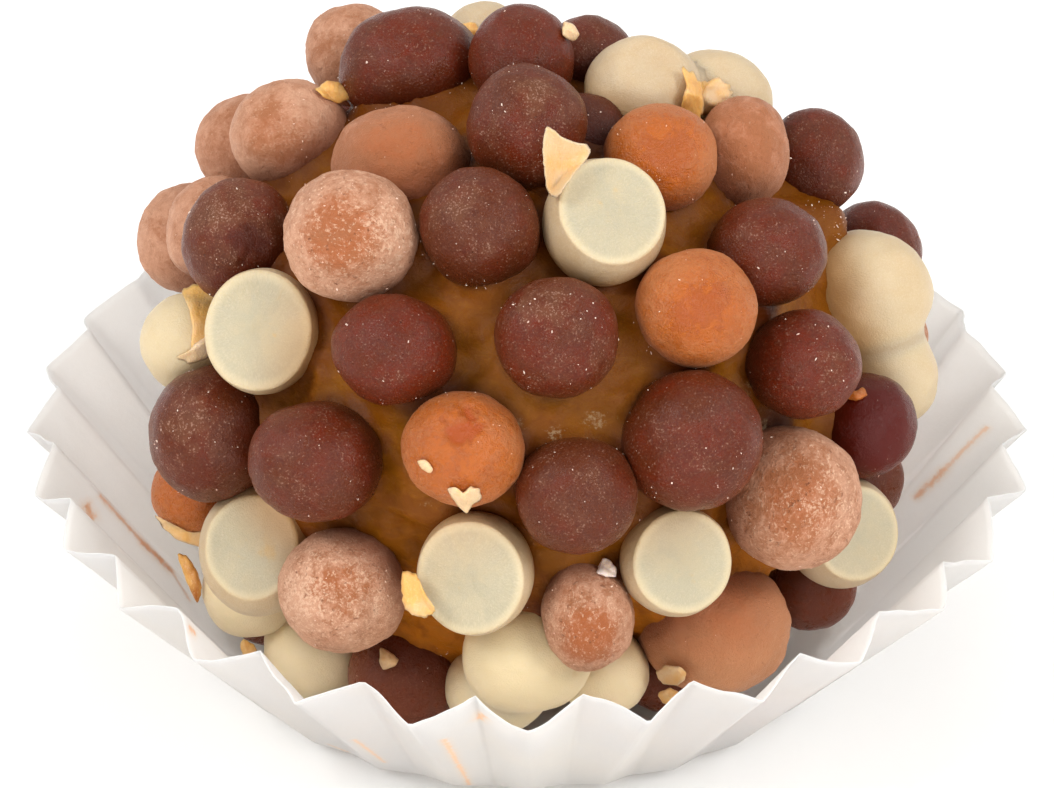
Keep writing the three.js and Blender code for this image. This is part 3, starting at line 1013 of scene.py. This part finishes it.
def case_maker():
    sizes = ("Base radius", "Rim radius", "Rim height", "Foot depth", "Rim depth", "Fold drop",
             "Base share", "Wander", "Sag")
    maker = Maker("pleated_case", {
        "Geometry": "Geometry", "Pleats": "Float", "Around": "Int", "Upward": "Int",
        **{size: "Float" for size in sizes}, "Material": "Material",
    })
    value = {size: maker.input(size) for size in sizes}
    sheet = maker.add("GeometryNodeMeshGrid", {}, {
        "Size X": 1.0, "Size Y": 1.0,
        "Vertices X": maker.input("Around"), "Vertices Y": maker.input("Upward"),
    })
    across, along, _ = maker.axes(maker.position())
    turn, share = across + 0.5, along + 0.5
    angle = turn * math.tau
    ring = maker.joined(maker.math("COSINE", angle), maker.math("SINE", angle), 0.0)

    # How far up the wall a point lies: negative on the base, 0 at the foot and 1 at the rim.
    climb = (share - value["Base share"]) / (1 - value["Base share"])
    up = maker.math("MAXIMUM", climb, 0.0)
    on_base = value["Base radius"] * share / value["Base share"]
    on_wall = value["Base radius"] + climb * (value["Rim radius"] - value["Base radius"])
    radius = maker.math("SMOOTH_MIN", on_base, on_wall, 0.8 * MM)
    height = maker.math("SMOOTH_MAX", climb * value["Rim height"], 0.0, 0.9 * MM)

    # Broad rounded outer folds and sharp inner ones, none quite like its neighbour.
    wander = (maker.cloud(ring, 4.5, 2, 0.5, 3.0) - 0.5) * value["Wander"]
    lean = (maker.cloud(ring, 7.0, 1, 0.5, 8.0) - 0.5) * up * value["Wander"] * 0.6
    wave = maker.math("COSINE", (turn * maker.input("Pleats") + wander + lean) * math.pi)
    wave = maker.math("ABSOLUTE", wave)
    facet = maker.math("ARCSINE", wave) * (2 / math.pi)
    fold = (wave * 0.1 + facet * 0.9) * 2 - 1
    uneven = 0.65 + 0.7 * maker.cloud(ring, 6.0, 1, 0.5, 14.0)
    depth = value["Foot depth"] + up * (value["Rim depth"] - value["Foot depth"])
    begins = maker.step(climb, -0.12, 0.05)
    outwards = fold * depth * 0.5 * begins * uneven
    drop = fold * value["Fold drop"] * 0.5 * up

    sag = (maker.cloud(ring, 1.1, 2, 0.5, 21.0) - 0.5) * value["Sag"] * up
    edge = (maker.cloud(ring, 9.0, 2, 0.5, 33.0) - 0.5) * up ** 3 * value["Sag"] * 0.5
    wall = maker.vector("ADD", ring, maker.joined(0.0, 0.0, share * 2))
    crease = (maker.cloud(wall, 7.0, 3, 0.6, 40.0) - 0.5) * value["Sag"] * 0.14 * up
    reach = radius + outwards + sag + crease
    flat_ring = maker.scaled(ring, reach)
    raised = maker.joined(0.0, 0.0, height - drop - sag * 0.5 + edge)
    placed = maker.add("GeometryNodeSetPosition", {}, {
        "Geometry": sheet, "Position": maker.vector("ADD", flat_ring, raised),
    })
    marked = maker.kept(placed, "wall", maker.joined(turn, climb, fold))
    closed = maker.add("GeometryNodeMergeByDistance", {}, {
        "Geometry": marked, "Distance": 0.002 * MM,
    })
    return maker.finish(closed)


# The wall's radius half-way up, and its slant length for each millimetre of height.
WALL_RADIUS, WALL_SLANT = 17.8, 1.26

# Each has the bearing and the height in millimetres of its two ends, its width and its strength.
GREASE_STREAKS = (
    ((-83.0, 7.4), (-82.5, 4.8), 0.20, 0.9),
    ((-82.5, 4.8), (-82.8, 3.1), 0.32, 1.1),
    ((-82.8, 3.1), (-80.5, 1.8), 0.18, 0.6),
    ((93.2, 8.7), (93.4, 6.4), 0.14, 0.7),
    ((93.4, 6.4), (93.7, 4.9), 0.24, 0.9),
    ((-80.0, 7.6), (-79.4, 7.1), 0.35, 1.0),
    ((-42.8, 9.3), (-42.8, 9.7), 0.25, 0.9),
    ((-5.1, 8.7), (-5.9, 8.0), 0.30, 0.8),
    ((-35.7, 0.9), (-33.0, 0.6), 0.20, 0.5),
    ((-24.4, 4.4), (-23.6, 1.6), 0.18, 0.6),
    ((-10.2, 6.8), (-9.8, 0.6), 0.22, 0.7),
)


def rolled_out(bearing, height):
    """A point of the wall, rolled out flat, in millimetres."""
    return Vector((math.radians(bearing) * WALL_RADIUS, height * WALL_SLANT, 0))


def white_paper():
    finish = Finish("white_paper")
    place = finish.place()
    fold = finish.axes(finish.direction("wall"))[2]
    x, y, z = finish.axes(place)
    # The wall rolled out flat: how far round and how far up it the point lies.
    bearing = finish.math("ARCTAN2", x, -1 * y)
    unrolled = finish.joined(bearing * WALL_RADIUS, z * WALL_SLANT, 0.0)
    normal = finish.add("ShaderNodeNewGeometry", {}, {}, "Normal")
    outward = finish.vector("NORMALIZE", finish.vector("MULTIPLY", place, (1, 1, 0)))
    inside = finish.step(finish.dot(normal, outward), 0.1, -0.1)

    fibres = finish.cloud(place, 3.2, 4, 0.7)
    clouds = finish.cloud(place, 0.35, 2, 0.5)
    tooth = finish.cloud(place, 9, 3, 0.7)
    # Painted shade: the inside of the case is painted greyer than its outside.
    colour = finish.layered(
        finish.blend(inside, "#dfe0e0", "#f4f1eb"),
        (finish.step(clouds + 0.4 * (fibres - 0.5), 0.35, 0.7) * 0.3, "#ece6dd"),
        # Painted shade along the sharp inner fold lines.
        (finish.step(fold, -0.7, -0.98) * 0.15, "#ded8d0"),
        (finish.step(tooth, 0.45, 0.75) * 0.25, "#e2ded8"),
        (finish.step(fibres, 0.6, 0.8) * 0.15, "#fffdf8"),
    )

    # Thin streaks of caramel grease, through which less light comes.
    grease = 0.0
    for start, end, width, strength in GREASE_STREAKS:
        start, end = rolled_out(*start), rolled_out(*end)
        along = end - start
        span = finish.vector("SUBTRACT", unrolled, tuple(start))
        share = finish.dot(span, tuple(along / along.length_squared))
        share = finish.math("MINIMUM", finish.math("MAXIMUM", share, 0.0), 1.0)
        nearest = finish.vector("MULTIPLY_ADD", tuple(along), share, tuple(start))
        away = finish.length(finish.vector("SUBTRACT", unrolled, nearest))
        ragged = away + (fibres - 0.5) * width * 1.8
        halo = finish.step(ragged, width * 1.8, width * 0.3) * 0.5 * strength
        core = finish.step(ragged, width * 0.8, 0.0) * 0.8 * strength
        colour = finish.layered(colour, (halo, "#f8dcc0"), (core, "#ffb868"))
        grease = finish.math("MAXIMUM", grease, halo * 0.5 + core)

    sheet = finish.add("ShaderNodeBsdfPrincipled", {}, {
        "Base Color": colour,
        "Roughness": 0.62,
        "Specular IOR Level": 0.3,
        "Normal": finish.bump(fibres, 0.03),
    })
    through = finish.add("ShaderNodeBsdfTranslucent", {}, {"Color": paint("#fdfcfb")})
    mixed = finish.add("ShaderNodeMixShader", {}, {
        0: 0.58 - 0.28 * grease, 1: sheet, 2: through,
    })
    finish.add("ShaderNodeOutputMaterial", {}, {"Surface": mixed})
    return finish.material


def make_case(finish):
    values = {
        "Pleats": 28.0, "Around": 28 * 22 + 1, "Upward": 52,
        "Base radius": 14.1 * MM, "Rim radius": 21.6 * MM, "Rim height": 9.8 * MM,
        "Foot depth": 0.3 * MM, "Rim depth": 1.25 * MM, "Fold drop": 0.9 * MM,
        "Base share": 0.4, "Wander": 0.5, "Sag": 1.2 * MM, "Material": finish,
    }
    start = bpy.data.meshes.new("case")
    piece = grown("pleated_case", start, case_maker(), values, thickness=0.07 * MM)
    keep(piece, "paper", "paper_case")
    return piece


# ---- Sugar specks -------------------------------------------------------------------------

def speck_maker():
    maker = Maker("specks", {
        "Geometry": "Geometry", "Density": "Float", "Smallest": "Float", "Largest": "Float",
        "Clump size": "Float", "Bareness": "Float", "Seed": "Int", "Material": "Material",
    })
    point = maker.position()
    from_centre = maker.vector("SUBTRACT", point, tuple(BALL_CENTRE))
    fudge_surface = tuple(1 / size for size in FUDGE_HALF)
    out = maker.length(maker.vector("MULTIPLY", from_centre, fudge_surface))
    clumps = maker.cloud(point, 1 / maker.input("Clump size"), 3, 0.6)
    there = maker.math("GREATER_THAN", out, 1.03)
    above = maker.step(maker.axes(from_centre)[2], -9 * MM, 2 * MM) * 0.6 + 0.4
    bare = maker.input("Bareness")
    chosen = maker.math("MAXIMUM", clumps - bare, 0.0) / (1 - bare) * 3
    density = maker.input("Density") * (chosen + maker.number("pale") * 0.5) * there * above
    density = density * maker.number("grainy")
    scattered = maker.add("GeometryNodeDistributePointsOnFaces", {}, {
        "Mesh": maker.input("Geometry"), "Density": density, "Seed": maker.input("Seed"),
    })
    seed = maker.input("Seed")
    share = maker.random(0.0, 1.0, seed + 1)
    smallest, largest = maker.input("Smallest"), maker.input("Largest")
    size = smallest + share ** 3 * (largest - smallest)
    uneven = maker.random((0.6, 0.4, 0.3), (1.9, 0.9, 0.7), seed + 2)
    spin = maker.random((0.0, 0.0, 0.0), (math.tau, math.tau, math.tau), seed + 3)
    crystal = maker.add("GeometryNodeMeshIcoSphere", {}, {"Radius": 1.0, "Subdivisions": 1})
    placed = maker.add("GeometryNodeInstanceOnPoints", {}, {
        "Points": scattered, "Instance": crystal,
        "Rotation": maker.add("FunctionNodeEulerToRotation", {}, {"Euler": spin}),
        "Scale": maker.scaled(uneven, size),
    })
    return maker.finish(placed)


def speck_finish(name, first, second):
    finish = Finish(name)
    place = finish.place()
    tone = finish.cloud(place, 2.5, 1, 0.5)
    return finish.surface(
        base_color=finish.blend(finish.step(tone, 0.35, 0.65), first, second),
        roughness=0.45 + 0.2 * (tone - 0.5),
        specular_ior_level=0.5,
    )


def make_specks(pieces, fudge):
    tree = speck_maker()
    dust = speck_finish("sugar_dust", "#cdaa9a", "#ead6c6")
    frosting = speck_finish("pink_frosting", "#dcae95", "#f0d2bd")
    per_area = 1 / MM ** 2
    # Each has what it lies on and its slot, how many specks at most lie on a square millimetre,
    # the smallest and the largest radius and the size of a clump in millimetres, how much stays
    # bare, and the finish.
    scatterings = {
        "dark_pearl_specks": (pieces["dark"], "dark_chocolate", 2.3, 0.015, 0.07, 1.6, 0.47, dust),
        "milk_pearl_frost": (pieces["milk"], "milk_chocolate", 5.0, 0.015, 0.065, 1.0, 0.48,
                             frosting),
        "caramel_pearl_specks": (pieces["caramel"], "caramel", 2.0, 0.015, 0.07, 1.4, 0.5,
                                 frosting),
        "fudge_sparkle": (fudge, "fudge", 12.0, 0.018, 0.085, 1.3, 0.42, dust),
    }
    for seed, (name, row) in enumerate(scatterings.items()):
        host, slot, density, smallest, largest, clump, bareness, finish = row
        values = {
            "Density": density * per_area, "Smallest": smallest * MM, "Largest": largest * MM,
            "Clump size": clump * MM, "Bareness": bareness, "Seed": 11 + 7 * seed,
            "Material": finish,
        }
        keep(grown(name, host.data.copy(), tree, values), slot)


# ---- Scraps and smears ---------------------------------------------------------------------

# Scraps of chocolate stuck to a pearl: the pearl, the outline as seen from the front and above,
# in millimetres right and up from the pearl's centre, how thick it is, how far its free end
# curls out, how far its edge stands up round its middle, and its tint (-0.6 pink, 0 cream,
# 0.5 yellow, 1 orange).
WHITE_SCRAPS = (
    ("white_01", ((-2.43, 3.80), (-1.67, 3.32), (-0.79, 3.08), (-0.55, 2.80), (-1.30, 1.84),
                  (-1.95, 0.9), (-2.40, 1.1), (-2.59, 2.48), (-2.59, 3.20)), 0.12, 1.0, 0.55, 0.25),
    ("caramel_03", ((-0.6, -1.75), (-0.25, -1.62), (0.05, -1.84), (0.35, -1.6), (0.72, -1.72),
                    (0.84, -2.0), (0.45, -2.35), (0.17, -2.7), (-0.23, -2.33)),
     0.5, 0.0, 0.0, 0.15),
    ("caramel_03", ((-1.85, -0.55), (-1.5, -0.5), (-1.2, -0.85), (-1.3, -1.05), (-1.65, -0.9)),
     0.3, 0.0, 0.0, 0.1),
    ("milk_11", ((0.4, 1.85), (0.65, 2.4), (1.0, 2.3), (1.25, 2.0), (1.2, 1.65), (0.8, 1.6)),
     0.6, 0.0, 0.0, -0.5),
    ("white_09", ((-3.04, 0.05), (-2.5, 0.0), (-2.0, -1.0), (-1.6, -1.65), (-2.34, -1.83),
                  (-2.96, -1.5), (-3.1, -0.8)), 0.55, 0.1, 0.1, 0.45),
    ("milk_13", ((-2.5, -2.0), (-2.1, -1.65), (-1.5, -1.7), (-1.2, -2.1), (-1.6, -2.5),
                 (-2.2, -2.45)), 0.5, 0.0, 0.0, 0.25),
    ("milk_13", ((-2.4, -2.85), (-1.9, -2.65), (-1.4, -2.9), (-1.5, -3.35), (-2.2, -3.3)),
     0.5, 0.0, 0.0, 0.4),
    ("dark_21", ((-1.15, 1.1), (-0.85, 1.05), (-0.35, 0.65), (-0.5, 0.4), (-1.05, 0.22),
                 (-1.2, 0.6)), 0.5, 0.0, 0.0, 0.15),
    ("white_12", ((-0.3, -2.2), (0.2, -2.5), (0.45, -3.1), (0.25, -3.5), (-0.2, -3.2),
                  (-0.45, -2.6)), 0.4, 0.1, 0.0, 0.45),
    ("dark_03", ((1.8, 1.5), (2.25, 1.4), (2.5, 0.95), (2.2, 0.65), (1.75, 0.9)),
     0.6, 0.1, 0.0, 0.15),
    ("white_06", ((-0.3, 2.2), (0.3, 2.5), (0.95, 2.4), (1.4, 1.8), (1.6, 0.9), (1.45, 0.2),
                  (0.9, -0.3), (0.3, -0.6), (0.2, -0.2), (0.25, 0.5), (0.1, 1.3)),
     0.2, 0.25, 0.0, 0.5),
    ("white_06", ((-0.45, -0.75), (0.1, -0.45), (0.5, -0.05), (1.2, 0.4), (1.75, 0.8),
                  (1.8, 0.2), (1.3, -0.45), (0.6, -0.9), (0.0, -1.0)), 0.45, 0.3, 0.0, -0.05),
    ("white_02", ((1.6, 0.7), (2.0, 0.6), (2.5, 0.0), (2.6, -0.8), (2.45, -1.5), (1.8, -1.6),
                  (1.6, -0.9), (1.8, -0.1)), 0.8, 0.2, 0.0, 0.6),
    ("white_04", ((-2.1, 0.5), (-1.3, 0.8), (-0.6, 0.5), (0.0, 0.75), (0.6, 0.1), (0.3, -0.8),
                  (-1.2, -1.0), (-2.0, -0.4)), 1.0, 0.1, 0.0, 0.35),
    ("milk_05", ((1.2, 1.9), (1.7, 2.3), (2.3, 2.2), (2.7, 1.6), (2.2, 1.3), (1.6, 1.5)),
     0.5, 0.0, 0.0, 0.7),
)
CARAMEL_SCRAPS = (
    ("white_03", ((-1.1, 0.7), (-0.4, 0.75), (-0.2, 0.25), (-0.8, 0.05), (-1.2, 0.3)),
     0.4, 0.0, 0.0, 0.7),
    ("caramel_04", ((-1.7, -1.0), (-0.9, -1.5), (0.2, -1.8), (1.2, -1.6), (1.6, -1.8),
                    (1.2, -2.2), (0.3, -2.4), (-0.9, -2.0)), 0.3, 0.0, 0.0, 0.35),
    ("white_12", ((-3.2, 1.5), (-2.8, 1.4), (-2.4, 0.9), (-2.1, 0.0), (-2.3, -0.6),
                  (-2.8, 0.3)), 0.5, 0.1, 0.0, 0.8),
    ("dark_18", ((-0.9, 1.5), (-0.5, 1.45), (-0.2, 1.6), (0.0, 1.25), (-0.5, 1.0), (-0.95, 1.15)),
     0.45, 0.1, 0.0, 1.4),
)
OUTLINE_STEPS, SCRAP_RINGS = 56, 9


def rounded(outline):
    """The outline as a smooth closed curve of evenly spread points."""
    corners = np.array(outline)
    count = len(corners)
    fine = []
    for index in range(count):
        before, start, end, after = (corners[(index + shift) % count] for shift in (-1, 0, 1, 2))
        for share in np.linspace(0, 1, 16, endpoint=False):
            bend = ((2 * start) + (end - before) * share
                    + (2 * before - 5 * start + 4 * end - after) * share ** 2
                    + (3 * start - before - 3 * end + after) * share ** 3) / 2
            fine.append(0.6 * bend + 0.4 * (start + (end - start) * share))
    fine = np.array(fine)
    steps = np.linalg.norm(np.roll(fine, -1, axis=0) - fine, axis=1)
    travelled = np.concatenate([[0], np.cumsum(steps)])
    closed = np.vstack([fine, fine[:1]])
    wanted = np.linspace(0, travelled[-1], OUTLINE_STEPS, endpoint=False)
    return np.array([np.interp(wanted, travelled, closed[:, axis]) for axis in (0, 1)]).T


def facet_share(flat, facets):
    """How much of its full thickness a broken scrap keeps at a point, as flat facets cut it."""
    return min(1.0, *(level - flat.dot(slope) for slope, level in facets))


def add_scrap(parts, random, pearl, outline, thick, curl, cup, tint):
    """A closed scrap of chocolate that lies on the pearl and reaches past its edge."""
    edge = rounded(outline)
    middle = edge.mean(axis=0)
    size = np.linalg.norm(edge - middle, axis=1).mean()
    radius = max(pearl["size"].x, pearl["size"].y) / MM
    turning_in = 0.93 * radius
    facets = []
    for index in range(5):
        angle = math.tau * (index + random.uniform(0, 0.8)) / 5
        slope = Vector((math.cos(angle), math.sin(angle))) * random.uniform(0.35, 0.8) / size
        facets.append((slope, random.uniform(0.9, 1.15)))

    def point(flat, side, share):
        away = math.hypot(*flat)
        inner = min(away, turning_in)
        seat = Vector((flat[0], flat[1], pearl["seed"]))
        ragged = noise.noise(seat * 1.8) * 0.16 + noise.noise(seat * 5) * 0.06
        dome = math.sqrt(1 - share ** 4) * facet_share(Vector(flat - middle), facets)
        depth = math.sqrt(radius ** 2 - inner ** 2) - 0.35 * (away - inner) + 0.08
        depth += side * thick * dome * (0.75 if side > 0 else 0.5)
        depth += curl * max(away - inner, 0) + cup * share ** 2 + ragged * (0.3 + thick)
        place = SEEN_RIGHT * flat[0] + SEEN_UP * flat[1] + FRONT_AND_UP * depth
        parts["vertices"].append(pearl["centre"] + place * MM)
        # Paler towards the edge: partly a painted highlight on the thin rim, partly tone that
        # differs at random.
        edge_highlight_and_tone = 0.12 * share ** 6 + 0.3 * noise.noise(seat * 1.5)
        parts["tints"].append(tint - edge_highlight_and_tone)

    start = len(parts["vertices"])
    for side, rings in ((1, SCRAP_RINGS), (-1, SCRAP_RINGS - 1)):
        point(middle, side, 0)
        for ring in range(1, rings + 1):
            share = ring / SCRAP_RINGS
            for corner in edge:
                jag = 1 + (0.05 + 0.2 * thick) * share * noise.noise(Vector((*corner, 3.0)) * 4)
                point(middle + (corner - middle) * share * jag, side, share)
    around = OUTLINE_STEPS
    under = start + 1 + SCRAP_RINGS * around
    upper_rings = [start + 1 + ring * around for ring in range(SCRAP_RINGS)]
    lower_rings = [under + 1 + ring * around for ring in range(SCRAP_RINGS - 1)]
    lower_rings.append(upper_rings[-1])
    faces = parts["faces"]
    for step in range(around):
        beside = (step + 1) % around
        faces.append((start, upper_rings[0] + step, upper_rings[0] + beside))
        faces.append((under, lower_rings[0] + beside, lower_rings[0] + step))
        for a, b in zip(upper_rings, upper_rings[1:]):
            faces.append((a + step, b + step, b + beside, a + beside))
        for a, b in zip(lower_rings, lower_rings[1:]):
            faces.append((a + beside, b + beside, b + step, a + step))


def scrap_finish(name):
    finish = Finish(name)
    place = finish.place()
    streaks = finish.cloud(finish.vector("MULTIPLY", place, (2.5, 1, 1)), 1.4, 4, 0.7)
    grain = finish.cloud(place, 11, 3, 0.6)
    tint = finish.numbers("tint")[0] + 0.45 * (streaks - 0.5)
    colour = finish.layered(
        finish.blend(finish.step(tint, -0.8, 0.0), "#e4d2cc", "#dcba90"),
        (finish.step(tint, 0.1, 0.6), "#e0aa5c"),
        (finish.step(tint, 0.55, 1.05), "#a85a1c"),
        (finish.step(grain, 0.5, 0.8) * 0.25, "#f6e2bd"),
    )
    return finish.surface(
        base_color=colour,
        roughness=0.4 + 0.2 * (grain - 0.5),
        normal=finish.bump(grain * 0.4 + streaks * 0.6, 0.08),
        specular_ior_level=0.35,
        **lit_through(0.2, 0.6, 0.25, 0.5),
    )


def make_scraps(name, scraps, pearls, slot):
    by_name = {pearl["name"]: pearl for pearl in pearls}
    parts = {"vertices": [], "faces": [], "tints": []}
    random = np.random.default_rng(5)
    for pearl_name, *scrap in scraps:
        add_scrap(parts, random, by_name[pearl_name], *scrap)
    mesh = bpy.data.meshes.new(name)
    mesh.from_pydata(parts["vertices"], [], parts["faces"])
    store(mesh, "tint", parts["tints"])
    mesh.shade_smooth()
    mesh.materials.append(scrap_finish(name))
    keep(new_object(name, mesh), slot)


# ---- The whole ----------------------------------------------------------------------------

make_studio()

front_pearls = find_front_pearls()
pearls = front_pearls + lay_far_pearls(front_pearls)
random = np.random.default_rng(12)
for pearl in pearls:
    give_character(pearl, random)
find_partners(pearls)

finishes = {
    "dark": dark_chocolate(),
    "milk": milk_chocolate(),
    "caramel": caramel_chocolate(),
    "white": white_chocolate(),
}
finishes["button"] = finishes["white"]
pearl_pieces = make_pearls(pearls, finishes)
fudge_piece = make_fudge(pearls, soft_fudge())
make_case(white_paper())
make_specks(pearl_pieces, fudge_piece)
make_scraps("white_scraps", WHITE_SCRAPS, pearls, "white_chocolate")
make_scraps("caramel_scraps", CARAMEL_SCRAPS, pearls, "caramel")
